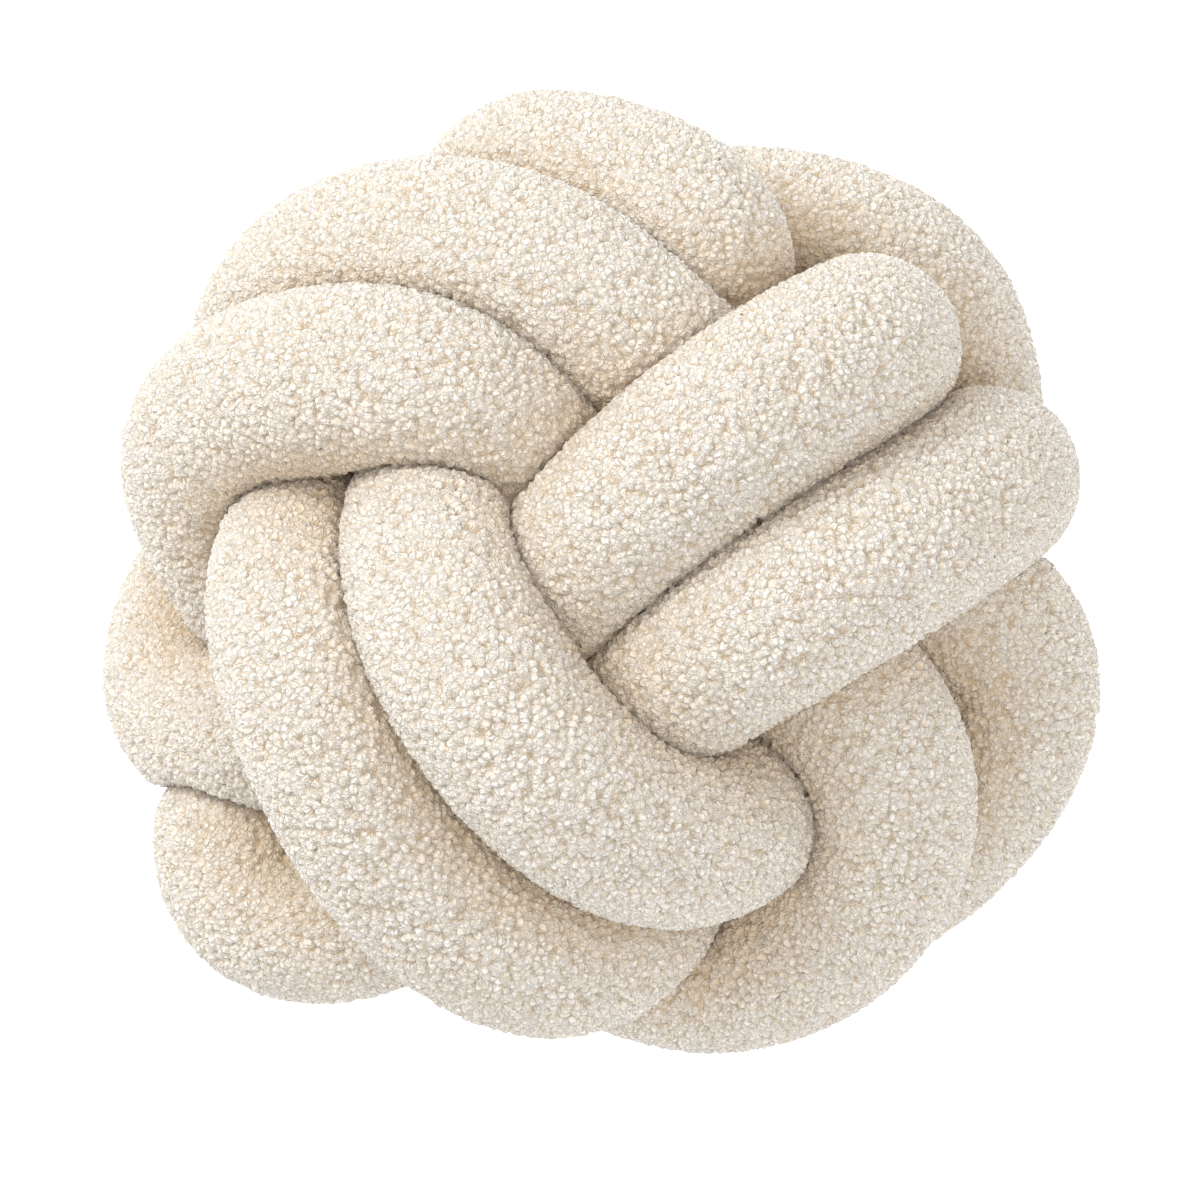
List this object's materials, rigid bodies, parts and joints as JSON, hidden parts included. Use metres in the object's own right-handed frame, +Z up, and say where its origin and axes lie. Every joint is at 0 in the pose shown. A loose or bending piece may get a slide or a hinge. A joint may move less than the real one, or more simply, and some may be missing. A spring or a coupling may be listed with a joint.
{
  "type": "knot cushion",
  "caption": "Ball cushion of one long stuffed tube tied in a doubled Turk's head knot, resting on a small flat spot.",
  "frame": {"origin": "middle of the flat spot that the cushion lies on", "axes": "+Z up, out of the knot's face; +Y towards the top of the face as the picture shows it; +X to the right of the face"},
  "size_m": [0.34, 0.3259, 0.2945],
  "materials": {
    "boucle": "cream boucle, short curly pile, matt"
  },
  "bodies": {
    "root": {"knot_cushion": "boucle"}
  },
  "joints": []
}
